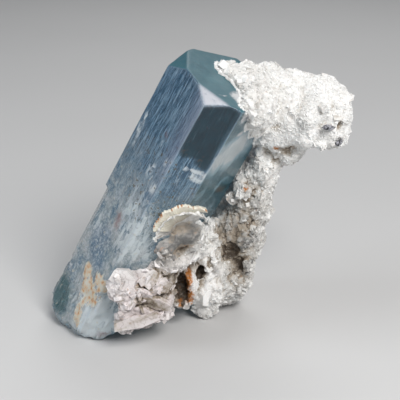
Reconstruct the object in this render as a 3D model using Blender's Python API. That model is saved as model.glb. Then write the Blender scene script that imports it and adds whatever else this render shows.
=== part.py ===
"""A cabinet specimen of aquamarine: one stout six-sided blue beryl crystal, finished at both ends,
leaning in a mass of sugary white albite that climbs its right side and swells into a knob.

Metres, +Z up. The origin is the middle of the footprint, on the surface that the specimen stands on.
The crystal has a frame of its own: Z along its axis, origin where its first edge would end on top.
"""

import math

import bmesh
import bpy
from mathutils import Euler, Matrix, Vector, noise

MM = 0.001

# The beryl crystal: six prism faces that meet at 120 degrees, each with its own width.
AXIS_LEAN = math.radians(28.3)  # from upright
AXIS_HEADING = math.radians(-18.2)  # from +X, the way the top leans
FACE_TURN = math.radians(-39.7)  # the run of the first prism face about the axis
SIXTH = math.radians(60)
FACE_WIDTHS = [18.1 * MM, 8.6 * MM, 23.5 * MM, 13.0 * MM, 13.7 * MM, 18.4 * MM]
FIRST_EDGE_TOP = Vector((-6.4 * MM, -7.2 * MM, 73.6 * MM))
CRYSTAL_LENGTH = 79.0 * MM
BEVEL_SLOPE = math.radians(44.9)  # between an end plane and the small pyramid faces of beryl
TOP_BEVELS = [7.0 * MM, 5.0 * MM, 0.8 * MM, 5.0 * MM, 7.0 * MM, 8.8 * MM]
FOOT_BEVELS = [7.6 * MM, 3.0 * MM, 1.5 * MM, 3.0 * MM, 5.0 * MM, 6.0 * MM]
LEDGE_DEPTH = 1.1 * MM  # the first edge steps in by this below a ledge
LEDGE_LEVEL = -39.0 * MM

STAND_OFFSET = Vector((1.3 * MM, -0.8 * MM, 0.0))  # brings the middle of the footprint to the origin

CONTACT_GAP = 0.3 * MM  # between the crystal and what grew on it

# The white mass is lumps grown into each other: centre and half sizes, in millimetres.
LUMP_RELIEF = 0.2  # share of a lump's size that its surface swells and sinks by
LUMP_RELIEF_SCALE = 2.2  # swellings across a lump
LUMP_FINENESS = 4  # times a lump's twenty triangles are split
PIT_FINENESS = 2  # coarser, so that hollows are angular
MASS_GRAIN = 1.05 * MM  # the finest step of the mass's surface
MASS_FACETS = 0.28  # share of its facets that are kept
KNOB = [
    ((27.2, 2.5, 56.8), (9.4, 9.6, 9.2)),
    ((32.0, 1.5, 57.8), (5.0, 7.0, 6.6)),
    ((31.8, 0.5, 52.4), (5.0, 6.0, 4.8)),
    ((25.5, -2.0, 54.8), (6.5, 5.0, 6.0)),
    ((29.8, 7.5, 59.6), (5.5, 6.0, 5.2)),
    ((25.6, -6.6, 57.6), (2.6, 2.2, 2.4)),
]
NECK = [
    ((19.8, 3.0, 58.8), (8.0, 8.5, 8.2)),
    ((19.8, 3.5, 52.6), (7.5, 7.5, 6.0)),
    ((14.5, 2.0, 61.0), (6.5, 7.5, 7.0)),
    ((15.5, 9.5, 58.0), (8.0, 6.5, 9.0)),
    ((13.6, -4.6, 58.4), (4.0, 5.0, 6.0)),
    ((11.4, -7.4, 61.6), (2.6, 3.4, 3.4)),
]
BODY = [
    ((22.0, 4.5, 47.0), (4.2, 6.0, 4.6)),
    ((15.8, 8.5, 42.0), (4.6, 8.2, 10.5)),
    ((13.0, 9.0, 32.5), (5.7, 8.0, 11.5)),
    ((9.8, 9.5, 22.5), (6.6, 8.5, 11.5)),
    ((7.8, 10.5, 12.0), (6.6, 8.2, 9.5)),
    ((5.4, 12.5, 6.0), (6.6, 7.0, 6.0)),
    ((4.0, 16.0, 24.5), (7.4, 5.2, 10.5)),
    ((0.0, 17.5, 13.0), (6.6, 5.4, 9.5)),
    ((10.5, 14.0, 40.0), (6.4, 5.8, 11.5)),
    ((-4.5, 18.8, 5.5), (6.4, 4.2, 6.5)),
    ((-9.0, 20.4, 12.5), (3.6, 2.8, 5.5)),
]
TOOTH = [
    ((-0.6, 0.6, 20.6), (5.2, 4.4, 5.6)),
    ((-3.0, -1.0, 22.4), (3.2, 3.4, 3.4)),
    ((-0.1, 1.2, 13.0), (5.4, 4.4, 7.4)),
    ((1.3, 3.4, 5.4), (4.5, 3.8, 5.6)),
    ((4.2, 5.5, 15.0), (4.0, 5.0, 9.0)),
    ((-5.2, -2.6, 11.8), (4.2, 4.4, 6.4)),
]
# The bridge grows round the crystal's front edge, from the tooth to the fan and the cluster.
BRIDGE = [
    ((-3.0, -11.0, 29.3), (4.6, 5.2, 3.8)),
    ((-8.4, -15.6, 28.0), (2.8, 2.5, 2.4)),
    ((-8.6, -13.0, 23.2), (4.6, 3.6, 3.0)),
    ((-2.4, -5.6, 25.0), (4.2, 5.4, 4.6)),
    ((-5.6, -9.6, 23.6), (4.0, 4.6, 3.8)),
    ((-4.2, -15.6, 30.8), (3.8, 2.8, 2.4)),
]
CLUSTER = [
    ((-19.2, -16.2, 17.6), (4.0, 3.2, 4.0)),
    ((-13.6, -14.6, 18.0), (4.6, 3.6, 3.8)),
    ((-9.6, -10.0, 17.4), (3.6, 4.4, 3.8)),
    ((-15.6, -13.6, 12.4), (5.4, 3.6, 4.6)),
    ((-10.8, -9.0, 11.4), (3.8, 4.4, 5.0)),
]
# The tongue lies on the crystal's upper end, so its lumps are placed in the crystal's frame.
TONGUE = [
    ((12.4, 9.4, 0.3), (3.6, 4.6, 1.5)),
    ((16.8, 10.5, 0.8), (4.6, 7.0, 2.8)),
    ((20.4, 5.0, 1.0), (3.6, 6.5, 3.0)),
    ((21.6, -2.6, -0.4), (2.4, 4.8, 1.9)),
    ((24.2, 3.6, -2.0), (3.0, 6.0, 5.0)),
]
# Hollows and cracks of the mass: centre and half sizes in millimetres, then turns in degrees.
PITS = [
    ((21.0, -5.0, 47.0), (5.8, 4.6, 3.1), (0, -12, 0)),
    ((4.1, 0.8, 26.9), (0.8, 3.2, 3.4), (0, 4, 12)),
    ((7.7, 1.6, 19.4), (2.4, 1.8, 3.4), (0, 12, 0)),
    ((-0.1, -2.4, 15.8), (1.2, 2.4, 2.2), (0, 24, 0)),
    ((2.2, -2.4, 20.0), (0.7, 1.8, 2.8), (0, -8, 0)),
    ((-4.9, -6.2, 12.0), (2.1, 3.6, 5.4), (0, -6, 0)),
    ((33.5, -5.2, 55.0), (1.2, 1.4, 1.6), (20, 0, 0)),
    ((-14.4, -17.8, 13.8), (2.3, 2.0, 1.0), (0, 24, 0)),
    ((-12.5, -17.7, 18.8), (1.9, 1.6, 0.7), (0, -36, 0)),
]

# Where the crystal's foot is chipped: a point of each break in millimetres, and the way it faces.
CHIPS = [
    ((-24.6, -10.4, 0.6), (0.42, -0.40, -0.82)),
    ((-33.4, -9.0, 3.7), (-0.68, -0.55, -0.50)),
    ((-12.4, 6.0, 1.8), (0.62, 0.22, -0.75)),
]

# Flat-faced albite crystals: centre and sizes in millimetres, then turns in degrees about X, Y, Z.
BLOCKS = [
    ((10.4, 1.2, 36.4), (3.8, 4.0, 3.0), (8, 24, 30)),
    ((2.4, -0.4, 26.6), (3.0, 3.4, 5.4), (-6, 6, 12)),
    ((7.8, 2.0, 34.0), (2.8, 3.0, 2.4), (10, -28, 40)),
    ((14.4, 1.6, 34.0), (2.6, 3.0, 4.2), (12, 28, -12)),
    ((13.8, 2.0, 25.2), (3.0, 2.6, 2.4), (-14, 12, 22)),
    ((12.4, 2.4, 15.4), (2.6, 2.6, 3.2), (10, -18, 34)),
    ((10.6, 3.2, 8.4), (2.8, 2.6, 3.2), (0, 20, 16)),
    ((17.0, 1.8, 41.4), (2.4, 3.0, 3.8), (0, 30, 14)),
    ((0.8, -2.8, 19.2), (1.1, 2.6, 7.0), (4, -14, -12)),
    ((3.0, -2.2, 18.6), (1.0, 2.6, 6.4), (-4, -20, 24)),
    ((-2.8, -2.8, 21.4), (3.6, 1.4, 4.2), (10, 30, -20)),
    ((3.6, -1.2, 9.2), (2.8, 2.2, 5.0), (4, 10, 18)),
    ((35.4, -1.6, 61.2), (2.6, 2.4, 2.4), (20, 30, 10)),
    ((29.4, -6.8, 60.2), (2.6, 1.8, 2.0), (0, 25, 20)),
    ((22.0, -5.0, 59.4), (3.0, 2.0, 2.2), (12, -10, 30)),
    ((29.0, -5.6, 50.4), (2.4, 2.2, 2.0), (20, 14, -24)),
    ((17.6, 15.6, 33.0), (2.6, 3.0, 3.6), (16, 20, -30)),
    ((9.0, 18.8, 26.0), (3.4, 2.6, 3.0), (-18, 8, 24)),
    ((14.2, 15.8, 18.4), (3.0, 3.2, 2.8), (12, -22, 40)),
    ((2.0, 22.0, 9.6), (3.6, 2.0, 3.0), (10, 18, 12)),
    ((13.0, 18.4, 45.0), (3.0, 2.6, 3.4), (-14, 30, 8)),
    ((-16.0, -10.6, 7.0), (12.0, 5.6, 4.8), (0, -4, 31)),
    ((-17.8, -18.6, 16.2), (6.0, 1.6, 3.8), (14, -38, -10)),
    ((-12.8, -16.8, 16.4), (7.4, 1.5, 3.0), (-20, -30, 14)),
    ((-9.6, -12.8, 17.6), (6.6, 1.6, 4.0), (10, -52, 30)),
    ((-13.4, -16.6, 10.6), (7.6, 1.8, 3.0), (24, 26, 20)),
    ((-18.6, -17.0, 11.6), (3.2, 3.0, 4.8), (0, 24, 10)),
    ((-9.0, -12.0, 8.8), (3.4, 2.0, 5.4), (8, -16, 40)),
    ((-19.6, -17.6, 20.2), (3.4, 2.4, 3.0), (30, 20, 16)),
    ((-3.6, -15.4, 30.2), (5.4, 2.0, 2.0), (-8, -6, 10)),
    ((-3.0, -16.2, 32.6), (7.0, 1.3, 4.4), (12, 12, 8)),
]
BLOCK_CHAMFER = 0.35 * MM

# The fan: a crescent of thin blades that spread from one root over the crystal's front edge.
FAN_ROOT = Vector((-3.9 * MM, -16.9 * MM, 31.6 * MM))
FAN_TURN = Euler((math.radians(12), math.radians(2), math.radians(8)))
FAN_REACH = 7.9 * MM
FAN_INNER = 0.42  # of the reach, where the blades come out of the mass
FAN_NOTCH = 0.06  # of the reach, how far the rim dips between blades
FAN_THICKNESS = 2.2 * MM
FAN_SWEEP = (math.radians(52), math.radians(186))
FAN_BLADES = 10
FAN_BLADE_RELIEF = 0.35 * MM
FAN_CUP = 1.6 * MM

# Dark mica flakes in the knob: centre and sizes in millimetres, then turns in degrees.
FLAKES = [
    ((30.4, -7.9, 55.6), (3.0, 1.5, 0.7), (24, 10, 12)),
    ((33.4, -4.9, 50.9), (1.9, 1.4, 0.8), (40, -24, 30)),
]
MICA_SIDES = 6

COLOURS = {
    "aquamarine": (0.22, 0.42, 0.52, 1.0),
    "albite": (0.84, 0.82, 0.78, 1.0),
    "mica": (0.09, 0.09, 0.10, 1.0),
}


def clear_scene():
    for old in list(bpy.data.objects):
        bpy.data.objects.remove(old, do_unlink=True)


def make_material(name, roughness, metallic=0.0):
    material = bpy.data.materials.new(name)
    material.use_nodes = True
    shader = material.node_tree.nodes["Principled BSDF"]
    shader.inputs["Base Color"].default_value = COLOURS[name]
    shader.inputs["Roughness"].default_value = roughness
    shader.inputs["Metallic"].default_value = metallic
    material.diffuse_color = COLOURS[name]
    return material


def make_object(name, bm, material=None):
    """A new object from a bmesh, with flat faces turned outwards."""
    bmesh.ops.recalc_face_normals(bm, faces=bm.faces)
    mesh = bpy.data.meshes.new(name)
    bm.to_mesh(mesh)
    bm.free()
    if material:
        mesh.materials.append(material)
    return bpy.data.objects.new(name, mesh)


def show(obj):
    bpy.context.scene.collection.objects.link(obj)
    return obj


def keep_as_cutter(obj, group):
    """Files a helper under its group, out of renders."""
    group.objects.link(obj)
    obj.hide_render = True
    obj.display_type = "WIRE"
    return obj


def new_group(name):
    group = bpy.data.collections.new(name)
    bpy.context.scene.collection.children.link(group)
    return group


def add_boolean(obj, operation, other, solver):
    modifier = obj.modifiers.new(operation.lower(), "BOOLEAN")
    modifier.operation = operation
    modifier.solver = solver
    modifier.object = other


def crystal_frame():
    """The place and turn of the crystal's frame in the specimen."""
    heading = Matrix.Rotation(AXIS_HEADING, 4, "Z")
    lean = Matrix.Rotation(AXIS_LEAN, 4, "Y")
    return Matrix.Translation(FIRST_EDGE_TOP) @ heading @ lean


def prism_edges():
    """The prism's six edges as points across its axis, anticlockwise from the first."""
    edge = Vector((0.0, 0.0, 0.0))
    edges = []
    for side, width in enumerate(FACE_WIDTHS):
        edges.append(edge.copy())
        run = FACE_TURN + SIXTH * side
        edge += Vector((math.cos(run), math.sin(run), 0.0)) * width
    return edges


def cut_away(bm, point, normal):
    """Takes off what lies beyond a plane and closes the cut with one flat face."""
    whole = list(bm.verts) + list(bm.edges) + list(bm.faces)
    cut = bmesh.ops.bisect_plane(bm, geom=whole, plane_co=point, plane_no=normal, clear_outer=True)
    rim = [piece for piece in cut["geom_cut"] if isinstance(piece, bmesh.types.BMEdge)]
    if rim:
        bmesh.ops.edgeloop_fill(bm, edges=rim)


def cut_pyramid_face(bm, edge, outward, level, run, up):
    """Bevels one corner of an end of the prism; run is how far the face reaches along the end's edges."""
    drop = run * math.cos(SIXTH) * math.tan(BEVEL_SLOPE)
    point = edge + Vector((0.0, 0.0, level - up * drop))
    normal = outward * math.sin(BEVEL_SLOPE) + Vector((0.0, 0.0, up * math.cos(BEVEL_SLOPE)))
    cut_away(bm, point, normal)


def crystal_shape(grow=0.0):
    """The beryl prism in the specimen's frame, every face moved outwards by grow."""
    up = Vector((0.0, 0.0, 1.0))
    bm = bmesh.new()
    bmesh.ops.create_cube(bm, size=4 * CRYSTAL_LENGTH)
    edges = prism_edges()
    for side, edge in enumerate(edges):
        run = FACE_TURN + SIXTH * side
        outward = Vector((math.sin(run), -math.cos(run), 0.0))
        cut_away(bm, edge + outward * grow, outward)
    cut_away(bm, up * grow, up)
    cut_away(bm, -up * (CRYSTAL_LENGTH + grow), -up)
    for side, edge in enumerate(edges):
        middle = FACE_TURN + SIXTH * (side - 0.5)
        outward = Vector((math.sin(middle), -math.cos(middle), 0.0))
        swollen = edge + outward * grow
        cut_pyramid_face(bm, swollen, outward, grow, TOP_BEVELS[side], 1)
        cut_pyramid_face(bm, swollen, outward, -CRYSTAL_LENGTH - grow, FOOT_BEVELS[side], -1)
    bm.transform(crystal_frame())
    cut_away(bm, -up * grow, -up)
    for point, facing in CHIPS:
        normal = Vector(facing).normalized()
        cut_away(bm, Vector(point) * MM + normal * grow, normal)
    return bm


def add_lump(bm, centre, half_sizes, frame=Matrix.Identity(4), fineness=LUMP_FINENESS):
    """One rounded lump: a sphere whose surface swells and sinks by smooth noise, then is stretched."""
    made = bmesh.ops.create_icosphere(bm, subdivisions=fineness, radius=1.0)
    place = Vector(centre)
    for vert in made["verts"]:
        direction = vert.co.normalized()
        swell = noise.fractal(direction * LUMP_RELIEF_SCALE + place, 0.8, 2.0, 4)
        rounded = direction * (1 + LUMP_RELIEF * swell)
        stretched = Vector([r * h for r, h in zip(rounded, half_sizes)])
        vert.co = frame @ ((place + stretched) * MM)


def turned_in_place(centre, turns):
    """Turns in degrees about a centre in millimetres, for a shape that is already there."""
    there = Matrix.Translation(Vector(centre) * MM)
    turned = Euler([math.radians(turn) for turn in turns]).to_matrix().to_4x4()
    return there @ turned @ there.inverted()


def block(name, centre, sizes, turns):
    """One flat-faced crystal: a box with chamfered edges, turned in place."""
    bm = bmesh.new()
    bmesh.ops.create_cube(bm, size=1.0)
    bmesh.ops.scale(bm, vec=Vector(sizes) * MM, verts=bm.verts)
    bmesh.ops.bevel(bm, geom=bm.edges[:], offset=BLOCK_CHAMFER, segments=1, affect="EDGES")
    bm.transform(turned_in_place(centre, turns) @ Matrix.Translation(Vector(centre) * MM))
    return make_object(name, bm, albite)


def ledge_cutter():
    """A tilted box along the lower part of the prism's first edge."""
    height = CRYSTAL_LENGTH
    middle = FACE_TURN - SIXTH / 2
    bm = bmesh.new()
    bmesh.ops.create_cube(bm, size=1.0)
    bmesh.ops.scale(bm, vec=Vector((height, height, height)), verts=bm.verts)
    bmesh.ops.translate(bm, vec=Vector((0, -height / 2 + LEDGE_DEPTH, -height / 2)), verts=bm.verts)
    shoulder = [vert for vert in bm.verts if vert.co.z > -MM and vert.co.y < 0]
    bmesh.ops.translate(bm, vec=Vector((0, 0, height)), verts=shoulder)
    bm.transform(Matrix.Translation((0, 0, LEDGE_LEVEL)) @ Matrix.Rotation(middle, 4, "Z"))
    bm.transform(crystal_frame())
    return make_object("ledge", bm)


def fan_point(across, out, skin):
    """A point of the fan: across runs over its sweep, out from root to rim, skin from back to front."""
    angle = FAN_SWEEP[0] + (FAN_SWEEP[1] - FAN_SWEEP[0]) * across
    fold = abs((across * FAN_BLADES) % 1.0 - 0.5) * 2  # 1 on a crest between blades, 0 in a groove
    reach = FAN_REACH * (FAN_INNER + out * (1 - FAN_INNER - FAN_NOTCH * fold))
    depth = FAN_CUP * out**3 + FAN_BLADE_RELIEF * fold * out * skin
    depth += FAN_THICKNESS * (0.4 + 0.6 * out) * (skin - 0.5)
    return Vector((reach * math.cos(angle), -depth, reach * math.sin(angle)))


def fan_shape():
    """The crescent of blades as one closed, folded plate."""
    steps_across = 2 * FAN_BLADES
    steps_out = 4
    bm = bmesh.new()
    skins = []
    for skin in (0, 1):
        grid = []
        for i in range(steps_across + 1):
            row = [fan_point(i / steps_across, j / steps_out, skin) for j in range(steps_out + 1)]
            grid.append([bm.verts.new(point) for point in row])
        skins.append(grid)
    for grid in skins:
        for a, b in zip(grid, grid[1:]):
            for j in range(steps_out):
                bm.faces.new((a[j], a[j + 1], b[j + 1], b[j]))
    back, front = skins
    for j in range(steps_out):
        for i in (0, -1):
            bm.faces.new((back[i][j], back[i][j + 1], front[i][j + 1], front[i][j]))
    for i in range(steps_across):
        for j in (0, -1):
            bm.faces.new((back[i][j], back[i + 1][j], front[i + 1][j], front[i][j]))
    bm.transform(Matrix.Translation(FAN_ROOT) @ FAN_TURN.to_matrix().to_4x4())
    return bm


def flake_shape(centre, sizes, turns, grow=0.0):
    """A thin six-sided mica plate; grow widens it all round, for its slot."""
    bm = bmesh.new()
    bmesh.ops.create_cone(
        bm, cap_ends=True, segments=MICA_SIDES, radius1=0.5, radius2=0.5, depth=1.0
    )
    spread = Vector(sizes) * MM + Vector((2 * grow, 2 * grow, 2 * grow))
    bmesh.ops.scale(bm, vec=spread, verts=bm.verts)
    bm.transform(turned_in_place(centre, turns) @ Matrix.Translation(Vector(centre) * MM))
    return bm


clear_scene()
helpers = new_group("helpers")
aquamarine = make_material("aquamarine", 0.12)
albite = make_material("albite", 0.75)
mica = make_material("mica", 0.3, 0.4)

crystal = show(make_object("aquamarine_crystal", crystal_shape(), aquamarine))
add_boolean(crystal, "DIFFERENCE", keep_as_cutter(ledge_cutter(), helpers), "EXACT")

# The white mass: lumps melted into one rough body, hollowed, faceted and set with flat crystals.
bm = bmesh.new()
for centre, half_sizes in KNOB + NECK + BODY + TOOTH + BRIDGE + CLUSTER:
    add_lump(bm, centre, half_sizes)
for centre, half_sizes in TONGUE:
    add_lump(bm, centre, half_sizes, crystal_frame())
matrix = show(make_object("albite_matrix", bm, albite))
melt = matrix.modifiers.new("melt", "REMESH")
melt.mode = "VOXEL"
melt.voxel_size = MASS_GRAIN
hollows = new_group("hollows")
for number, (centre, half_sizes, turns) in enumerate(PITS):
    bm = bmesh.new()
    add_lump(bm, centre, half_sizes, turned_in_place(centre, turns), PIT_FINENESS)
    pit = keep_as_cutter(make_object(f"pit_{number}", bm), hollows)
    add_boolean(matrix, "DIFFERENCE", pit, "MANIFOLD")
thin = matrix.modifiers.new("facet", "DECIMATE")
thin.ratio = MASS_FACETS
tablets = new_group("tablets")
for number, (centre, sizes, turns) in enumerate(BLOCKS):
    tablet = keep_as_cutter(block(f"tablet_{number}", centre, sizes, turns), tablets)
    add_boolean(matrix, "UNION", tablet, "MANIFOLD")
blades = keep_as_cutter(make_object("fan_blades", fan_shape(), albite), tablets)
add_boolean(matrix, "UNION", blades, "MANIFOLD")

# The mass stops just short of the beryl and of the mica, and ends flat where it stands.
clearance = keep_as_cutter(make_object("clearance", crystal_shape(CONTACT_GAP)), helpers)
add_boolean(matrix, "DIFFERENCE", clearance, "MANIFOLD")
bm = bmesh.new()
bmesh.ops.create_cube(bm, size=4 * CRYSTAL_LENGTH)
bmesh.ops.translate(bm, vec=Vector((0, 0, -2 * CRYSTAL_LENGTH)), verts=bm.verts)
add_boolean(matrix, "DIFFERENCE", keep_as_cutter(make_object("ground", bm), helpers), "MANIFOLD")
for number, (centre, sizes, turns) in enumerate(FLAKES):
    show(make_object(f"mica_flake_{number + 1}", flake_shape(centre, sizes, turns), mica))
    widened = flake_shape(centre, sizes, turns, CONTACT_GAP)
    slot = keep_as_cutter(make_object(f"mica_slot_{number + 1}", widened), helpers)
    add_boolean(matrix, "DIFFERENCE", slot, "MANIFOLD")

for part in bpy.data.objects:
    part.location += STAND_OFFSET
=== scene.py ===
"""A cabinet specimen of aquamarine: one stout six-sided blue beryl crystal, leaning in a mass of
sugary white albite that climbs its right side and swells into a knob.

Metres, +Z up. The origin is the middle of the footprint, on the surface that the specimen stands on.
"""

import math

import bmesh
import bpy
import numpy as np
from mathutils import Euler, Matrix, Vector
from mathutils.kdtree import KDTree


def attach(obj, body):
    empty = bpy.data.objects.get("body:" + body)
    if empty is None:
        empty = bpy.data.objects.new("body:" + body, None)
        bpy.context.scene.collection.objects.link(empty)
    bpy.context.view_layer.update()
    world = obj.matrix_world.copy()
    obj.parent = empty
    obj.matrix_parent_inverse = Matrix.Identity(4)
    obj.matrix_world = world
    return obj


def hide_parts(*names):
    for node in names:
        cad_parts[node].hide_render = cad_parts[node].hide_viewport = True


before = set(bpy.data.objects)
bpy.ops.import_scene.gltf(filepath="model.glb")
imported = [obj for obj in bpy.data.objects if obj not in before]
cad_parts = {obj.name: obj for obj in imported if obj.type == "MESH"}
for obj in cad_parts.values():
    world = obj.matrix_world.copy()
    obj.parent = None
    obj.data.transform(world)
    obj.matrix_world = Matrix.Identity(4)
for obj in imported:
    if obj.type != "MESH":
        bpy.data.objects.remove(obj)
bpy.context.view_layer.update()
MM = 0.001

# ---------------------------------------------------------------------------------------------
# The aquamarine: one beryl prism, glassy and see-through, finely grooved along its length, milky
# and chipped low down. It grew first, and everything else grew on it.
# ---------------------------------------------------------------------------------------------

AXIS_LEAN = math.radians(28.3)
AXIS_HEADING = math.radians(-18.2)
FACE_TURN = math.radians(-39.7)
SIXTH = math.radians(60)
FACE_WIDTHS = [18.1, 8.6, 23.5, 13.0, 13.7, 18.4]  # mm
FIRST_EDGE_TOP = (-5.1, -8.0, 73.6)
CRYSTAL_LENGTH = 79.0
BEVEL_SLOPE = math.radians(44.9)
TOP_BEVELS = [7.0, 5.0, 0.8, 5.0, 7.0, 8.8]
FOOT_BEVELS = [7.6, 3.0, 1.5, 3.0, 5.0, 6.0]
LEDGE_DEPTH = 1.1
LEDGE_LEVEL = -39.0
CHIPS = [
    ((-23.3, -11.2, 0.6), (0.42, -0.40, -0.82)),
    ((-32.1, -9.8, 3.7), (-0.68, -0.55, -0.50)),
    ((-11.1, 5.2, 1.8), (0.62, 0.22, -0.75)),
]
CRYSTAL_TURN = (
    Matrix.Rotation(AXIS_HEADING, 3, "Z") @ Matrix.Rotation(AXIS_LEAN, 3, "Y")
)
CRYSTAL_AXES = np.array(CRYSTAL_TURN)
EDGE_SHARPNESS = 180  # the higher, the crisper the edges
ROUND_STEPS = 520
REACH = 14.0  # about the prism's half width
TOP_STEPS, SIDE_STEPS, FOOT_STEPS = 62, 80, 36  # rows of the end, of the side and of the foot
AXIS_LOW, AXIS_HIGH = -60.0, -REACH  # the stretch of the axis that the rays leave from
GROOVE_DEPTH = 0.035  # the fine grooves along the faces
STEP_DEPTH = 0.10
WORN_LEVEL, WEAR_DEPTH = -52.0, 0.64
BROKEN_LEVEL, BROKEN_DEPTH = -63.0, 4.0  # where the rough broken foot begins, and how deep it goes


def cell_numbers(cells, seed):
    """A number from 0 to 1 for each whole-numbered cell, always the same for the same seed."""
    n = cells.astype(np.int64)
    mixed = n[..., 0] * 73856093 ^ n[..., 1] * 19349663 ^ n[..., 2] * 83492791 ^ seed * 2654435761
    mixed = (mixed ^ (mixed >> 13)) * 1274126177 & 0xFFFFFFFF
    mixed = (mixed ^ (mixed >> 15)) * 2246822519 & 0xFFFFFFFF
    return ((mixed ^ (mixed >> 16)) & 0xFFFFFF) / 0xFFFFFF


def soft_noise(points, size, seed):
    """Smooth noise from 0 to 1: numbers at the corners of cells, blended between them."""
    scaled = points / size
    low = np.floor(scaled)
    part = scaled - low
    part = part * part * (3 - 2 * part)
    total = np.zeros(len(points))
    for corner in np.ndindex(2, 2, 2):
        weight = np.prod(np.where(corner, part, 1 - part), axis=1)
        total += weight * cell_numbers(low + corner, seed)
    return total


def rough_noise(points, size, seed, octaves=3):
    """Noise with finer and finer detail, from 0 to 1."""
    total = sum(soft_noise(points, size / 2**k, seed + k) / 2**k for k in range(octaves))
    return total / sum(1 / 2**k for k in range(octaves))


def near(points, centre, reach):
    """1 at a centre, fading to 0 about a reach away; reach is one number or one for each axis."""
    return np.exp(-(((points - centre) / reach) ** 2).sum(axis=1))


def crystal_planes():
    """The crystal's flat faces in its own frame, as outward normals and distances."""
    normals, levels = [], []
    edge = np.zeros(3)
    edges = []
    for side, width in enumerate(FACE_WIDTHS):
        run = FACE_TURN + SIXTH * side
        outward = np.array((math.sin(run), -math.cos(run), 0.0))
        edges.append(edge.copy())
        normals.append(outward)
        levels.append(outward @ edge)
        edge += np.array((math.cos(run), math.sin(run), 0.0)) * width
    ends = ((TOP_BEVELS, 0.0, 1), (FOOT_BEVELS, -CRYSTAL_LENGTH, -1))
    for bevels, level, up in ends:
        normals.append(np.array((0.0, 0.0, up)))
        levels.append(level * up)
        for side, run_in in enumerate(bevels):
            middle = FACE_TURN + SIXTH * (side - 0.5)
            outward = np.array((math.sin(middle), -math.cos(middle), 0.0)) * math.sin(BEVEL_SLOPE)
            outward[2] = up * math.cos(BEVEL_SLOPE)
            drop = run_in * math.cos(SIXTH) * math.tan(BEVEL_SLOPE)
            normals.append(outward)
            levels.append(outward @ (edges[side] + (0, 0, level - up * drop)))
    world = [((0, 0, 0.0), (0, 0, -1.0))] + CHIPS
    for point, facing in world:
        outward = np.array(facing) / np.linalg.norm(facing) @ CRYSTAL_AXES
        normals.append(outward)
        levels.append(outward @ ((np.array(point) - FIRST_EDGE_TOP) @ CRYSTAL_AXES))
    return np.array(normals), np.array(levels), np.array(edges)


def grid_faces(rows, columns, wrapped):
    """The quads of a grid of points, row by row, closed round its columns if wrapped."""
    across = np.arange(columns if wrapped else columns - 1)
    start = np.arange(rows - 1)[:, None] * columns
    here, after = start + across, start + (across + 1) % columns
    return np.stack([here, after, after + columns, here + columns], axis=-1).reshape(-1, 4)


def new_piece(name, points, faces, material, slot, *nodes, smooth=True, more_faces=()):
    """A mesh in millimetres made into a piece that rides the specimen and stands for its nodes."""
    mesh = bpy.data.meshes.new(name)
    mesh.from_pydata((np.asarray(points) * MM).tolist(), [], np.asarray(faces).tolist() + list(more_faces))
    mesh.polygons.foreach_set("use_smooth", np.full(len(mesh.polygons), smooth))
    mesh.materials.append(material)
    mesh.update()
    piece = bpy.data.objects.new(name, mesh)
    bpy.context.scene.collection.objects.link(piece)
    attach(piece, "root")
    if nodes:
        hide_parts(*nodes)
    return piece


def put(tree, kind, values=None, **settings):
    """Adds a node; values gives its inputs a plain value, or the socket that feeds them."""
    made = tree.nodes.new("ShaderNode" + kind)
    for name, value in settings.items():
        setattr(made, name, value)
    for name, value in (values or {}).items():
        socket = made.inputs[name]
        if isinstance(value, bpy.types.NodeSocket):
            tree.links.new(value, socket)
        else:
            socket.default_value = (*value, 1) if socket.type == "RGBA" else value
    return made


def blend(tree, share, first, second, kind="MIX"):
    """Two colours mixed by a share."""
    values = {0: share, 6: first, 7: second}
    return put(tree, "Mix", values, data_type="RGBA", blend_type=kind).outputs[2]


def ramp(tree, factor, *stops):
    """A colour ramp with stops of place and colour, or of place and grey."""
    made = put(tree, "ValToRGB", {0: factor})
    band = made.color_ramp.elements
    while len(band) < len(stops):
        band.new(0.5)
    for element, (place, colour) in zip(band, stops):
        element.position = place
        element.color = (*colour, 1) if isinstance(colour, tuple) else (colour, colour, colour, 1)
    return made.outputs[0]


def noise(tree, vector, scale, detail=3.0, rough=0.55, distortion=0.0):
    """A noise of about 0.5 that swings both ways, on a vector."""
    values = {"Vector": vector, "Scale": scale, "Detail": detail, "Roughness": rough}
    values["Distortion"] = distortion
    return put(tree, "TexNoise", values).outputs["Fac"]


def calc(tree, operation, first, second, clamp=False):
    """One sum on two values, each a number or a socket."""
    return put(tree, "Math", {0: first, 1: second}, operation=operation, use_clamp=clamp).outputs[0]


def times(tree, first, second, clamp=False):
    """The first value times the second."""
    return calc(tree, "MULTIPLY", first, second, clamp)


def plus(tree, first, second, clamp=False):
    """The first value and the second, added."""
    return calc(tree, "ADD", first, second, clamp)


def new_material(name):
    """A material with a bare Principled shader; gives the material, its tree and the shader."""
    material = bpy.data.materials.new(name)
    material.use_nodes = True
    return material, material.node_tree, material.node_tree.nodes["Principled BSDF"]


def feed(tree, shader, **sockets):
    """Links sockets to the shader's inputs of the same names, with a _ for each space."""
    for name, socket in sockets.items():
        tree.links.new(socket, shader.inputs[name.replace("_", " ")])


def fading(values, level, soft):
    """1 well below a level, 0 well above it, and between the two softly."""
    return 1 / (1 + np.exp(np.clip((values - level) / soft, -40, 40)))


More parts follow.
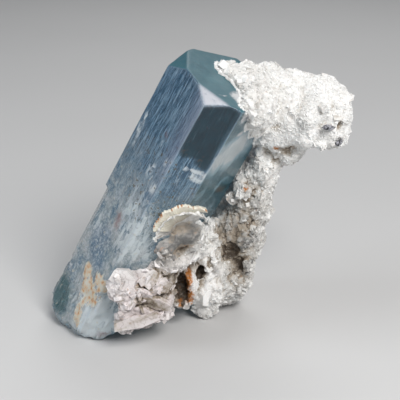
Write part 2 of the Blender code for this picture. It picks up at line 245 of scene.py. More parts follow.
def crystal_skin(face_normals, face_levels, edges):
    """The crystal's skin in its own frame, row by row: its points, the rays to them and each face's share.

    Rays leave the axis all round, and past its two ends they spread over a dome. A ray meets a face at the
    face's level over the ray's slope to it, and the skin lies at the nearest of these. To round the edges a
    little, every face's nearness is raised to EDGE_SHARPNESS and summed, in place of taking the nearest.
    The ledge is one more plane, just inside the front, that counts only below LEDGE_LEVEL.
    """
    middle = edges.mean(axis=0)
    angles = np.linspace(0, 2 * math.pi, ROUND_STEPS, endpoint=False)
    corner_angles = np.arctan2(edges[:, 1] - middle[1], edges[:, 0] - middle[0]) % (2 * math.pi)
    for corner in corner_angles:  # one column of points runs along each edge of the prism
        angles[np.argmin(np.abs(angles - corner))] = corner
    top_in = np.linspace(0.004, 1, TOP_STEPS // 2, endpoint=False)
    foot_in = np.linspace(0.01, 1, FOOT_STEPS // 2, endpoint=False)
    level_rows = FOOT_STEPS // 2 + SIDE_STEPS + TOP_STEPS // 2
    radius = np.concatenate([foot_in, np.ones(level_rows), top_in[::-1]])
    height = np.concatenate([
        np.full(len(foot_in), AXIS_LOW - REACH),
        np.linspace(AXIS_LOW - REACH, AXIS_LOW, FOOT_STEPS // 2, endpoint=False),
        np.linspace(AXIS_LOW, AXIS_HIGH, SIDE_STEPS, endpoint=False),
        np.linspace(AXIS_HIGH, 0, TOP_STEPS // 2),
        np.zeros(len(top_in)),
    ])
    start = np.clip(height, AXIS_LOW, AXIS_HIGH)
    aim = np.stack([
        np.outer(radius, np.cos(angles)) * REACH,
        np.outer(radius, np.sin(angles)) * REACH,
        np.repeat((height - start)[:, None], ROUND_STEPS, axis=1),
    ], axis=-1)
    aim /= np.linalg.norm(aim, axis=-1, keepdims=True)
    on_axis = np.stack([np.full(len(start), middle[0]), np.full(len(start), middle[1]), start], -1)
    origin = np.repeat(on_axis[:, None], ROUND_STEPS, 1)
    shares = []
    for normal, level in zip(face_normals, face_levels):
        slope = np.clip(aim @ normal, 0, None)
        shares.append((slope / (level - origin @ normal)) ** EDGE_SHARPNESS)
    nearness = sum(shares)
    face_shares = np.stack(shares, axis=-1) / nearness[..., None]
    front_left = FACE_TURN - SIXTH / 2
    ledge_out = np.array((math.sin(front_left), -math.cos(front_left), 0.0))
    ledge = np.clip(aim @ ledge_out, 0, None) / (-LEDGE_DEPTH - origin @ ledge_out)
    wave = 1.2 * np.sin(aim[..., 0] * 9 + 2)
    below = fading(origin[..., 2] + aim[..., 2] * REACH - wave, LEDGE_LEVEL, 0.25)
    nearness += (ledge * below) ** EDGE_SHARPNESS
    skin = origin + aim * nearness[..., None] ** (-1 / EDGE_SHARPNESS)
    return skin.reshape(-1, 3), aim.reshape(-1, 3), face_shares


face_normals, face_levels, edges = crystal_planes()
local, outward, face_shares = crystal_skin(face_normals, face_levels, edges)
rows = len(face_shares)
grooves = rough_noise(local / (1.0, 1.0, 26.0), 1.1, 5, 3) - 0.5
steps = np.round(rough_noise(local / (1.0, 1.0, 9.0), 5.0, 21, 2) * 9) / 9 - 0.5
low_down = fading(local[:, 2], WORN_LEVEL, 5.0)
wear = np.clip(rough_noise(local, 3.2, 9, 4) - 0.52, 0, 1) * (0.25 + low_down)
broken_off = np.abs(rough_noise(local, 3.4, 33, 3) - 0.5) * fading(local[:, 2], BROKEN_LEVEL, 1.5)
dents = GROOVE_DEPTH * 2 * (0.5 - grooves) + STEP_DEPTH * (0.5 - steps) + WEAR_DEPTH * wear
local -= outward * (dents + BROKEN_DEPTH * broken_off)[:, None]
points = local @ CRYSTAL_AXES.T + FIRST_EDGE_TOP
points[:, 2] = np.maximum(points[:, 2], 0)
points = np.vstack([points, points[:ROUND_STEPS].mean(axis=0), points[-ROUND_STEPS:].mean(axis=0)])
around = np.arange(ROUND_STEPS)
beside_it = (around + 1) % ROUND_STEPS
last = (rows - 1) * ROUND_STEPS
foot_tip = np.full(ROUND_STEPS, rows * ROUND_STEPS)
foot_fan = np.stack([around, foot_tip, beside_it], 1)
top_fan = np.stack([last + around, last + beside_it, foot_tip + 1], 1)

VEILS = [  # clouded places inside: where, reach across and along the crystal, how white
    ((-13.4, -6.6, 55.0), 1.2, 3.6, 0.9),
    ((-10.9, -14.7, 46.4), 1.2, 1.8, 0.8),
    ((-10.2, -17.5, 43.3), 0.8, 1.6, 1.0),
    ((-8.0, -14.9, 53.6), 0.9, 1.6, 0.5),
    ((-6.0, -18.2, 49.6), 1.2, 2.6, 0.8),
    ((-4.6, -19.2, 46.2), 1.6, 1.8, 0.5),
    ((-2.6, -19.8, 48.9), 0.9, 0.6, 0.9),
    ((-0.6, -19.8, 48.2), 0.8, 0.5, 1.1),
    ((1.0, -19.7, 47.6), 0.9, 0.5, 0.8),
    ((2.0, -19.6, 46.4), 1.3, 0.8, 0.9),
    ((0.4, -19.4, 45.6), 1.0, 0.8, 0.7),
    ((0.2, -19.4, 45.8), 1.4, 0.7, 0.7),
    ((-1.4, -19.4, 46.8), 0.7, 0.6, 0.8),
    ((3.4, -19.4, 48.6), 0.5, 2.2, 0.9),
    ((4.6, -19.8, 51.4), 0.4, 2.6, 0.7),
    ((10.4, -20.6, 61.0), 0.8, 1.0, 0.8),
    ((9.6, -16.6, 57.0), 0.9, 0.8, 0.8),
    ((-14.7, -15.3, 35.7), 5.0, 6.0, 0.45),
    ((-16.0, -16.3, 28.4), 4.5, 5.0, 0.8),
    ((-12.2, -17.4, 27.8), 2.6, 3.0, 0.6),
    ((-24.8, -4.4, 30.0), 1.6, 4.0, 0.4),
    ((-24.6, -12.8, 8.7), 3.2, 5.0, 1.3),
    ((-22.6, -12.8, 5.2), 3.4, 4.0, 1.4),
    ((-28.6, -12.0, 4.6), 3.0, 3.0, 1.4),
]
GLASSY = [  # clear places, where the dark shows through: where, and the reach
    ((-37.0, 0.0, 9.8), (3.8, 5.0, 7.5)),
    ((-34.4, -2.2, 8.4), (2.6, 3.2, 5.0)),
]
BLUES = [  # clear blue places low down: where, and the reach
    ((-25.6, -6.4, 25.0), (2.4, 3.4, 5.0)),
    ((-22.6, -9.6, 28.4), (2.2, 3.4, 3.6)),
    ((-24.4, -9.8, 21.0), (2.6, 3.4, 2.6)),
    ((-5.6, -18.6, 43.6), (3.4, 3.4, 3.4)),
    ((-12.6, -12.6, 47.6), (2.0, 3.4, 3.0)),
]
PALE_PATCH = [((8.0, -12.0, 50.6), (9.0, 12.0, 4.0))]  # the milky part of the third face
FLECKED = [((-8.5, -15.5, 44.0), (10.0, 12.0, 11.0))]  # where brown flecks show
CRUSTS = [  # patches of peach feldspar left on the lower end
    ((-27.4, -8.2, 13.8), (2.5, 3.0, 3.9)),
    ((-26.4, -10.2, 12.6), (1.7, 3.0, 2.4)),
    ((-27.3, -7.6, 18.2), (1.2, 3.0, 1.7)),
    ((-24.4, -12.4, 17.4), (1.8, 3.0, 1.6)),
    ((-22.9, -12.8, 15.2), (1.6, 3.0, 2.2)),
    ((-25.8, -10.4, 11.2), (2.1, 3.0, 1.9)),
    ((-30.0, -9.0, 8.0), (0.9, 3.0, 2.2)),
    ((-30.4, -8.8, 5.2), (1.0, 3.0, 1.6)),
    ((-34.6, -4.6, 4.6), (1.0, 3.0, 1.5)),
]
STAINS = [  # reddish spots under the surface: where, and the reach
    ((-6.9, -14.9, 55.6), (0.6, 1.0, 1.0)),
    ((-18.9, -10.8, 33.6), (1.3, 2.0, 1.5)),
    ((-19.5, -10.4, 31.2), (0.9, 2.0, 1.4)),
    ((-23.6, -12.0, 2.0), (2.4, 2.0, 1.0)),
]
ALBITE_SHADE_SPOTS = [  # painted shade, near black, on the crystal beside the albite: where, and the reach
    ((5.4, -4.2, 38.4), (2.2, 3.6, 1.7)),
    ((6.9, -1.0, 37.5), (1.6, 2.6, 1.2)),
    ((2.2, -12.5, 37.0), (2.6, 3.0, 1.4)),
    ((-5.0, -17.0, 44.8), (3.0, 3.0, 1.2)),
]
# The front window is painted near black, as the dark seen through the clear crystal.
WINDOW = ((11.0, -21.8, 63.8), (2.6, -19.7, 48.5), (-3.6, -20.2, 52.2))  # its right and lower edges


def veil(points, centre, across, along):
    """1 at a centre, fading out over a reach across the crystal and another along it."""
    away = (points - centre) @ CRYSTAL_AXES
    return np.exp(-(away[:, 0] ** 2 + away[:, 1] ** 2) / across**2 - away[:, 2] ** 2 / along**2)


def beside(points, first, second, soft):
    """1 to one side of the line between two points of the front, 0 to the other, softly."""
    side = np.cross(np.subtract(second, first), CRYSTAL_AXES @ face_normals[1])
    away = (points - first) @ (side / np.linalg.norm(side))
    return 1 / (1 + np.exp(np.clip(-away / soft, -40, 40)))


crystal_points = points
rough = rough_noise(crystal_points, 1.6, 61, 4)
milk = sum(veil(crystal_points, c, across, along) * w for c, across, along, w in VEILS)
crust = np.clip(sum(near(crystal_points, c, r) for c, r in CRUSTS), 0, 1)
crust = np.clip((crust + (rough - 0.5) * 2.0 * np.minimum(crust * 4, 1) - 0.42) * 6, 0, 1)
ragged = (rough - 0.5)[:, None] * CRYSTAL_AXES[:, 2] * 5
window = beside(crystal_points, WINDOW[0], WINDOW[1], 0.25)
window *= beside(crystal_points + ragged, WINDOW[1], WINDOW[2], 0.3)

beryl, tree, shader = new_material("aquamarine")
place = put(tree, "TexCoord").outputs["Object"]
turned = put(tree, "Mapping", {
    "Vector": place,
    "Location": Vector(FIRST_EDGE_TOP) * MM,
    "Rotation": CRYSTAL_TURN.to_euler(),
}, vector_type="TEXTURE").outputs[0]
split = put(tree, "SeparateXYZ", {0: turned})


def mask(tree, name):
    """A piece's own mask, by its name, as a number from 0 to 1."""
    return put(tree, "Attribute", attribute_name=name).outputs["Fac"]


def sway(tree, value, strength):
    """A noise's swing about its middle, times a strength."""
    return times(tree, calc(tree, "SUBTRACT", value, 0.5), strength)


def spread(tree, value, low, high):
    """A value's way from low to high, as a number from 0 to 1."""
    return put(tree, "MapRange", {0: value, 1: low, 2: high, 3: 0.0, 4: 1.0}).outputs[0]


along = put(tree, "Mapping", {"Vector": turned, "Scale": (1.0, 1.0, 0.05)}).outputs[0]
drawn_out = put(tree, "Mapping", {"Vector": turned, "Scale": (1.0, 1.0, 0.5)}).outputs[0]
aslant = put(tree, "Mapping", {
    "Vector": turned,
    "Rotation": (0.4, 0.5, 0.2),
    "Scale": (1.0, 1.0, 0.4),
}).outputs[0]
shards_of = put(tree, "TexVoronoi", {"Vector": aslant, "Scale": 900.0}).outputs["Color"]
shards = put(tree, "SeparateColor", {0: shards_of}).outputs[0]
streaks = noise(tree, along, 4600, 4, 0.8)
bands = noise(tree, along, 420, 3, 0.6)
clouds = noise(tree, turned, 130, 4, 0.6, 0.6)
mottle = noise(tree, drawn_out, 520, 8, 0.78, 0.3)
speckle = noise(tree, turned, 1300, 5, 0.75)
flecks = noise(tree, turned, 850, 2, 0.5)
rust_spots = noise(tree, turned, 1200, 1, 0.5)
wisp = noise(tree, aslant, 520, 5, 0.7, 2.4)
low = spread(tree, split.outputs[2], -0.018, -0.044)
high = calc(tree, "SUBTRACT", 1.0, low)

grain = plus(tree, times(tree, streaks, 0.8), times(tree, bands, 0.2))
steel = ramp(tree, grain, (0.43, (0.009, 0.054, 0.122)), (0.50, (0.048, 0.14, 0.236)),
             (0.575, (0.31, 0.44, 0.56)))
# A lighter pearly band of painted sheen on the left face's upper part, beside its edge with the front.
sheen_band_colour = ramp(tree, streaks, (0.40, (0.17, 0.24, 0.38)), (0.60, (0.47, 0.52, 0.65)))
on_band = times(tree, mask(tree, "sheen_band"), times(tree, high, 0.75))
steel = blend(tree, on_band, steel, sheen_band_colour)
# The window's painted darkness, standing for the dark seen through the clear crystal, with light streaks.
dark_seen_through = ramp(tree, streaks, (0.40, (0.0, 0.014, 0.026)), (0.60, (0.002, 0.044, 0.07)),
            (0.70, (0.16, 0.29, 0.35)))
teal = ramp(tree, clouds, (0.3, (0.015, 0.135, 0.19)), (0.7, (0.055, 0.225, 0.28)))
misty = ramp(tree, plus(tree, clouds, sway(tree, mottle, 0.7)), (0.34, (0.12, 0.225, 0.33)),
             (0.47, (0.33, 0.395, 0.425)), (0.62, (0.6, 0.61, 0.6)))
bluish = spread(tree, plus(tree, mask(tree, "blue"), sway(tree, mottle, 1.6)), 0.20, 0.90)
misty = blend(tree, times(tree, bluish, 0.75), misty, (0.085, 0.19, 0.32))
misty = blend(tree, times(tree, spread(tree, speckle, 0.51, 0.63), 0.70), misty, (0.88, 0.9, 0.89))
misty = blend(tree, times(tree, spread(tree, speckle, 0.46, 0.36), 0.48), misty, (0.08, 0.15, 0.23))
uneven = plus(tree, sway(tree, clouds, 1.5), sway(tree, streaks, 0.7))
third = ramp(tree, plus(tree, mask(tree, "pale"), uneven), (0.06, (0.085, 0.215, 0.265)),
             (0.32, (0.38, 0.61, 0.72)), (0.64, (0.9, 0.98, 1.0)))
body = blend(tree, times(tree, low, 0.95), steel, misty)
on_third = times(tree, mask(tree, "third_face"), plus(tree, high, 0.3), clamp=True)
body = blend(tree, on_third, body, third)
body = blend(tree, times(tree, mask(tree, "window"), mask(tree, "front_face")), body, dark_seen_through)
body = blend(tree, mask(tree, "top_face"), body, teal)

loose = plus(tree, times(tree, mask(tree, "milk"), 2.0), times(tree, low, 0.5))
loose = plus(tree, loose, 0.25, clamp=True)
broken = plus(tree, sway(tree, mottle, 2.2), sway(tree, shards, 1.0))
cloudy = plus(tree, times(tree, mask(tree, "milk"), 1.1), times(tree, broken, loose))
off_third = calc(tree, "SUBTRACT", 1.0, mask(tree, "third_face"))
cloudy = times(tree, spread(tree, cloudy, 0.30, 1.00), off_third)
threads = ramp(tree, wisp, (0.53, 0.0), (0.56, 1.0), (0.59, 0.0))
seamed = plus(tree, times(tree, low, 0.35), mask(tree, "milk"), clamp=True)
frosted = times(tree, mask(tree, "frosted_face"), spread(tree, mottle, 0.28, 0.46))
clear = spread(tree, plus(tree, mask(tree, "glassy"), sway(tree, mottle, 0.8)), 0.15, 0.85)
creamy = times(tree, spread(tree, flecks, 0.64, 0.74), times(tree, low, 0.6))
rusts = times(tree, spread(tree, rust_spots, 0.365, 0.31), spread(tree, clouds, 0.38, 0.52))
rusts = times(tree, rusts, spread(tree, mask(tree, "flecked"), 0.1, 0.5))
stained = spread(tree, plus(tree, mask(tree, "stain"), sway(tree, speckle, 2.4)), 0.30, 1.10)
# Painted shade on the crystal where the albite meets it.
shade_by_albite = spread(tree, plus(tree, mask(tree, "albite_shade"), sway(tree, mottle, 2.4)), 0.55, 1.0)
# Painted highlight along the crystal's edges, weaker on the top.
off_top = calc(tree, "SUBTRACT", 0.35, times(tree, mask(tree, "top_face"), 0.35))
edge_highlight = times(tree, mask(tree, "edge"), off_top)
# White albite film on the crystal, with one painted glint and a thin white line across the top.
snow_and_glint_share = spread(tree, plus(tree, mask(tree, "snow_and_glint"), sway(tree, speckle, 1.4)), 0.35, 0.75)
peach = ramp(tree, noise(tree, place, 900, 5, 0.65), (0.37, (0.72, 0.3, 0.07)),
             (0.46, (1.0, 0.74, 0.48)), (0.58, (1.0, 0.92, 0.78)))
coats = [  # what lies on the body colour, one over the other: how much of it, and its colour
    (cloudy, (0.88, 0.93, 0.95)),
    (times(tree, threads, seamed), (0.94, 0.97, 1.0)),
    (frosted, (0.88, 0.89, 0.95)),
    (times(tree, clear, 0.92), (0.05, 0.14, 0.155)),
    (creamy, (0.86, 0.78, 0.62)),
    (times(tree, rusts, 0.8), (0.19, 0.12, 0.045)),
    (times(tree, stained, 0.75), (0.3, 0.11, 0.1)),
    (shade_by_albite, (0.03, 0.035, 0.025)),
    (edge_highlight, (0.6, 0.7, 0.8)),
    (snow_and_glint_share, (0.93, 0.94, 0.95)),
    (mask(tree, "crust"), peach),
]
for share, colour in coats:
    body = blend(tree, share, body, colour)
relief = plus(tree, times(tree, streaks, 0.8), times(tree, mottle, 0.5))
bump = put(tree, "Bump", {"Strength": 0.35, "Distance": 0.0002, "Height": relief}).outputs[0]
gloss = ramp(tree, mottle, (0.35, 0.08), (0.7, 0.22))
matt = plus(tree, mask(tree, "top_face"), mask(tree, "frosted_face"))
gloss = plus(tree, gloss, times(tree, matt, 0.25))
gloss = plus(tree, gloss, times(tree, mask(tree, "crust"), 0.5), clamp=True)
feed(tree, shader, Base_Color=body, Roughness=gloss, Normal=bump)
shader.inputs["IOR"].default_value = 1.577
shader.inputs["Transmission Weight"].default_value = 0.5
inner = put(tree, "VolumeAbsorption", {"Color": (0.3, 0.76, 0.88), "Density": 45.0})
tree.links.new(inner.outputs[0], tree.nodes["Material Output"].inputs["Volume"])

crystal = new_piece(
    "aquamarine_crystal", points, grid_faces(rows, ROUND_STEPS, True), beryl, "aquamarine",
    "aquamarine_crystal", more_faces=foot_fan.tolist() + top_fan.tolist(),
)


def add_mask(piece, name, values):
    """A named number from 0 to 1 at each point of a piece, for its material."""
    made = piece.data.attributes.new(name, "FLOAT", "POINT")
    made.data.foreach_set("value", np.clip(values, 0, 1).astype(np.float32))


share_of = face_shares.reshape(len(local), -1)
share_of = np.vstack([share_of, face_shares[0].mean(axis=0), face_shares[-1].mean(axis=0)])
faces_named = {"front_face": [1], "third_face": [2], "top_face": [6, 7, 9, 10, 11, 12], "frosted_face": [8]}
for name, numbers in faces_named.items():
    add_mask(crystal, name, share_of[:, numbers].sum(axis=1))
# How much each point lies where two faces meet, for the painted edge highlight.
edge_share = 2.2 * (1 - (share_of**2).sum(axis=1))
along_face = np.array((math.cos(FACE_TURN), math.sin(FACE_TURN), 0.0))
to_edge = ((crystal_points - FIRST_EDGE_TOP) @ CRYSTAL_AXES - edges[1]) @ along_face
# The band of painted sheen on the left face, fading over 6 mm from its edge with the front.
sheen_band = share_of[:, 0] * np.clip(1 + to_edge / 6.0, 0, 1)
for name, values in (("milk", milk), ("crust", crust), ("window", window), ("edge", edge_share),
                     ("sheen_band", sheen_band)):
    add_mask(crystal, name, values)
for name, spots in (("stain", STAINS), ("albite_shade", ALBITE_SHADE_SPOTS), ("glassy", GLASSY), ("blue", BLUES),
                    ("flecked", FLECKED), ("pale", PALE_PATCH)):
    add_mask(crystal, name, sum(near(crystal_points, c, r) for c, r in spots))

# ---------------------------------------------------------------------------------------------
# The albite: one white mass grown on the crystal's right side, sugary on the knob, blocky and
# hollow down the body, with brown painted shade in its hollows and rusty beside the tooth.
# ---------------------------------------------------------------------------------------------

MASS_STEP = 0.37 * MM
BLOCK_SIZE, BLOCK_CRACK, BLOCK_CRACK_DEPTH = 2.8, 0.16, 1.8  # a crack's width is a share of the size
NODULE_SIZE, NODULE_CRACK, NODULE_CRACK_DEPTH = 1.5, 0.18, 0.8
NODULE_DOME = 0.24
SUGAR_SIZE, SUGAR_DOME = 0.7, 0.16
FAN_SEAT = 0.35  # how far the mass is drawn back behind the fan
MOST_RAISED = 0.12
LIP_REACH, LIP_HEIGHT = 0.6, 0.30  # the low lip against the crystal's faces
HOLLOW_ROUNDS, HOLLOW_DEPTH = 40, 1.1  # rounds of smoothing, and how far below it a point is wholly dark with painted shade
FAN_MIDDLE = (-4.5, -18.3, 34.0)
KNOB_MIDDLE = (30.0, 1.5, 57.0)
TOOTH_MIDDLE = (1.6, -1.0, 14.0)
CLUSTER_MIDDLE = (-13.5, -14.5, 13.5)
GREY_PLATE = (-2.5, -18.5, 31.4)


def cell_facets(points, size, seed):
    """Space is parted in cells, each nearest to one random seat, with a plane through the seat that is tipped
    at random. Gives each point's height on its cell's plane, its distance from the seat, and from the rim."""
    scaled = points / size
    low = np.floor(scaled)
    best = np.full(len(points), 9.0)
    second = np.full(len(points), 9.0)
    tilt = np.zeros(len(points))
    for step in np.ndindex(3, 3, 3):
        cell = low + (np.array(step) - 1)
        seat = cell + np.stack([cell_numbers(cell, seed + k) for k in range(3)], axis=1)
        away = scaled - seat
        apart = (away**2).sum(axis=1)
        lean = np.stack([cell_numbers(cell, seed + 3 + k) for k in range(3)], axis=1) - 0.5
        closer = apart < best
        second = np.where(closer, best, np.minimum(second, apart))
        tilt = np.where(closer, (away * lean).sum(axis=1) * 2 + cell_numbers(cell, seed + 7) - 0.5, tilt)
        best = np.where(closer, apart, best)
    return tilt, np.sqrt(best), np.sqrt(second) - np.sqrt(best)


def melted_copy(node, step):
    """The CAD node's shape as an even, closed mesh: points, quads and outward normals, in mm."""
    bm = bmesh.new()
    bm.from_mesh(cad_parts[node].data)
    bmesh.ops.remove_doubles(bm, verts=bm.verts, dist=1e-6)
    mesh = bpy.data.meshes.new("melting")
    bm.to_mesh(mesh)
    bm.free()
    helper = bpy.data.objects.new("melting", mesh)
    bpy.context.scene.collection.objects.link(helper)
    melt = helper.modifiers.new("melt", "REMESH")
    melt.mode = "VOXEL"
    melt.voxel_size = step
    even = helper.evaluated_get(bpy.context.evaluated_depsgraph_get()).to_mesh()
    points = np.empty(len(even.vertices) * 3)
    normals = np.empty(len(even.vertices) * 3)
    faces = np.empty(len(even.polygons) * 4, int)
    even.vertices.foreach_get("co", points)
    even.vertex_normals.foreach_get("vector", normals)
    even.loops.foreach_get("vertex_index", faces)
    bpy.data.objects.remove(helper, do_unlink=True)
    return points.reshape(-1, 3) / MM, faces.reshape(-1, 4), normals.reshape(-1, 3)


def smoothed(points, faces, times):
    """Points drawn to the middle of their neighbours, over and over."""
    first, second = faces.ravel(), np.roll(faces, 1, axis=1).ravel()
    ends = np.concatenate([first, second])
    others = np.concatenate([second, first])
    count = np.bincount(ends, minlength=len(points))[:, None]
    moved = points.copy()
    for _ in range(times):
        sums = [np.bincount(ends, weights=moved[others, k], minlength=len(points)) for k in range(3)]
        moved = np.stack(sums, axis=1) / count
    return moved


HOLLOWS = [  # hollows with brown painted shade and rust: where, how far it reaches, how dark, how rusty
    ((21.4, -3.0, 46.6), (4.6, 5.0, 2.2), 0.42, 0.0),
    ((5.6, -1.0, 28.0), (1.1, 4.5, 3.6), 1.5, 0.2),
    ((10.2, 1.8, 22.5), (4.6, 6.0, 8.0), 0.68, 0.0),
    ((12.5, 1.0, 12.6), (5.0, 5.0, 4.5), 0.42, 0.0),
    ((9.2, 1.8, 18.6), (1.8, 2.4, 2.6), 0.50, 0.0),
    ((1.2, -2.4, 16.4), (1.5, 2.6, 3.6), 0.9, 0.0),
    ((0.4, -2.6, 10.8), (0.9, 2.0, 2.0), 0.5, 0.1),
    ((-4.2, -5.0, 12.2), (2.8, 5.0, 6.8), 1.5, 0.0),
    ((-2.0, -5.2, 14.9), (0.9, 2.6, 2.4), 0.0, 1.3),
    ((-1.5, -4.6, 9.6), (0.8, 2.6, 3.0), 0.0, 1.2),
    ((-4.0, -6.6, 8.0), (0.9, 2.6, 1.6), 0.0, 0.8),
    ((33.9, -5.0, 57.0), (2.6, 4.0, 4.0), 0.26, 0.05),
    ((-13.1, -18.4, 13.8), (2.6, 2.6, 1.5), 1.1, 0.0),
    ((-5.8, -14.0, 17.8), (2.2, 4.0, 4.2), 0.9, 0.1),
    ((-19.8, -18.0, 8.6), (1.6, 3.0, 2.6), 0.7, 0.1),
    ((-9.0, -17.0, 21.6), (2.6, 2.6, 0.8), 0.8, 0.1),
    ((-6.4, -16.0, 11.6), (1.8, 3.0, 1.8), 0.6, 0.1),
    ((-1.6, -4.0, 23.2), (2.4, 3.0, 0.9), 0.7, 0.3),
    ((-11.2, -18.0, 18.8), (1.8, 2.0, 0.9), 0.9, 0.1),
    ((-18.5, -18.0, 11.6), (1.4, 2.4, 2.2), 0.6, 0.1),
    ((-8.6, -16.4, 15.4), (1.3, 2.4, 1.8), 0.9, 0.0),
    ((-13.6, -19.4, 15.6), (2.4, 2.4, 0.8), 0.7, 0.0),
    ((-18.0, -19.0, 16.8), (1.0, 2.4, 1.6), 0.6, 0.1),
    ((-11.0, -18.4, 11.4), (3.0, 2.4, 0.6), 0.7, 0.0),
    ((-15.2, -19.4, 18.6), (1.8, 1.6, 1.2), 0.35, 0.35),
    ((12.6, -1.4, 37.6), (0.9, 1.6, 0.9), 0.3, 0.9),
    ((19.6, -2.6, 48.8), (0.9, 1.6, 0.8), 0.3, 1.0),
    ((13.6, 1.0, 31.4), (2.4, 3.0, 3.6), 0.40, 0.0),
    ((7.4, 0.0, 34.6), (1.4, 3.0, 3.0), 0.8, 0.35),
    ((-2.8, -14.6, 28.0), (3.6, 3.4, 1.4), 0.7, 0.25),
    ((-8.6, -16.8, 27.6), (2.6, 3.0, 1.4), 0.5, 0.25),
    ((-12.0, -17.0, 24.4), (3.0, 3.0, 1.6), 0.40, 0.10),
]
SHADES = [  # painted light and shade, lighter on the tooth and knob, darker in recesses and on the grey plate: where, the reach, and how much lighter
    (TOOTH_MIDDLE, (5, 4, 10), 0.40),
    ((24.0, -6.0, 51.0), (9, 6, 4), 0.20),
    (GREY_PLATE, (4.2, 4, 2.8), -1.00),
    ((11.0, 1.0, 23.0), (5.5, 8, 11), -0.45),
    ((-8.0, -17.0, 26.5), (5, 4, 3.6), -0.50),
]
points, faces, normals = melted_copy("albite_matrix", MASS_STEP)
on_knob = np.clip(near(points, KNOB_MIDDLE, 16) * 1.5, 0, 1)
on_fan = np.clip(near(points, FAN_MIDDLE, (9, 5, 8)) * 1.6, 0, 1)
on_tooth = np.clip(near(points, TOOTH_MIDDLE, (7, 5, 13)) * 1.3, 0, 1)
on_cluster = np.clip(near(points, CLUSTER_MIDDLE, (10, 8, 10)) * 1.4, 0, 1)
on_body = np.clip(1 - on_knob - on_fan - on_tooth - on_cluster, 0, 1)
facet, _, rim = cell_facets(points, BLOCK_SIZE, 31)
nodule_facet, nodule, nodule_rim = cell_facets(points, NODULE_SIZE, 43)
_, sugar, _ = cell_facets(points, SUGAR_SIZE, 57)
# The relief is a sum of heights: blocks and, on them, nodules with flat tops tipped at random and parted by
# cracks, round nodules on the knob, and small round grains of sugar all over.
depth = (0.25 * on_cluster + 0.35 * on_tooth + 0.35 * on_body) * facet
depth -= BLOCK_CRACK_DEPTH * np.clip(BLOCK_CRACK - rim, 0, 1) * (1 - on_knob)
nodule_cracks = NODULE_CRACK_DEPTH * np.clip(NODULE_CRACK - nodule_rim, 0, 1) * on_body
depth += (0.35 * on_body + 0.15 * on_tooth) * nodule_facet - nodule_cracks
depth -= NODULE_DOME * on_knob * nodule**2
depth -= SUGAR_DOME * sugar**2 + 0.05
depth -= FAN_SEAT * on_fan
within = ((points - FIRST_EDGE_TOP) @ CRYSTAL_AXES) @ face_normals.T - face_levels
touching = np.exp(-((within.max(axis=1) / LIP_REACH) ** 2))
depth = np.minimum(depth, MOST_RAISED) * (1 - touching) + LIP_HEIGHT * touching
points = points + normals * depth[:, None]
points[:, 2] = np.maximum(points[:, 2], 0)
# How far each point lies below its smoothed neighbours, which sets its painted shade.
below = ((smoothed(points, faces, HOLLOW_ROUNDS) - points) * normals).sum(axis=1)
hollow = below / HOLLOW_DEPTH * (1 + on_cluster)


def shade_and_rust(points, kind):
    """How dark with painted shade (2) or how rusty (3) the hollows make each point."""
    return np.clip(sum(near(points, spot[0], spot[1]) * spot[kind] for spot in HOLLOWS), 0, 1)


def feldspar_look():
    """The look that all the albite shares, as a node group: white by its tone, times a tint; greyer, then
    dark brown where it is hollow, as painted shade; orange where it is rusty, with fine dark cracks and a
    sugary relief."""
    group = bpy.data.node_groups.new("feldspar_look", "ShaderNodeTree")
    group.interface.new_socket("Place", in_out="INPUT", socket_type="NodeSocketVector")
    group.interface.new_socket("Tint", in_out="INPUT", socket_type="NodeSocketColor")
    for name in ("Tone", "Hollow", "Rust", "Cracks"):
        group.interface.new_socket(name, in_out="INPUT", socket_type="NodeSocketFloat")
    group.interface.new_socket("Color", in_out="OUTPUT", socket_type="NodeSocketColor")
    for name in ("Roughness", "Height"):
        group.interface.new_socket(name, in_out="OUTPUT", socket_type="NodeSocketFloat")
    given = group.nodes.new("NodeGroupInput").outputs
    made = group.nodes.new("NodeGroupOutput").inputs
    place = given["Place"]
    patches = noise(group, place, 300, 6, 0.68, 0.4)
    fine_patches = noise(group, place, 900, 5, 0.7)
    tone = plus(group, given["Tone"], sway(group, patches, 0.8))
    tone = plus(group, tone, sway(group, fine_patches, 0.5))
    white = ramp(group, tone, (0.0, (0.15, 0.15, 0.145)), (0.16, (0.34, 0.33, 0.31)),
                 (0.5, (0.7, 0.69, 0.67)), (0.9, (0.9, 0.9, 0.89)))
    white = blend(group, 1.0, white, given["Tint"], "MULTIPLY")
    seam = ramp(group, noise(group, place, 260, 2, 0.5, 1.2), (0.465, 0.0), (0.49, 1.0), (0.515, 0.0))
    white = blend(group, times(group, seam, given["Cracks"]), white, (0.27, 0.22, 0.21))
    dark = plus(group, given["Hollow"], sway(group, patches, 0.9))
    dark = plus(group, dark, times(group, sway(group, fine_patches, 2.2), given["Cracks"]))
    # Painted shade in the hollows: grey-beige, then dark brown.
    white = blend(group, spread(group, dark, 0.15, 0.60), white, (0.34, 0.29, 0.23))
    white = blend(group, spread(group, dark, 0.55, 1.00), white, (0.045, 0.03, 0.018))
    rusty = plus(group, given["Rust"], sway(group, fine_patches, 2.4))
    white = blend(group, spread(group, rusty, 0.30, 0.80), white, (0.4, 0.15, 0.03))
    fine = noise(group, place, 1800, 3, 0.6)
    group.links.new(white, made["Color"])
    group.links.new(ramp(group, fine, (0.40, 0.45), (0.60, 0.75)), made["Roughness"])
    group.links.new(fine, made["Height"])
    return group


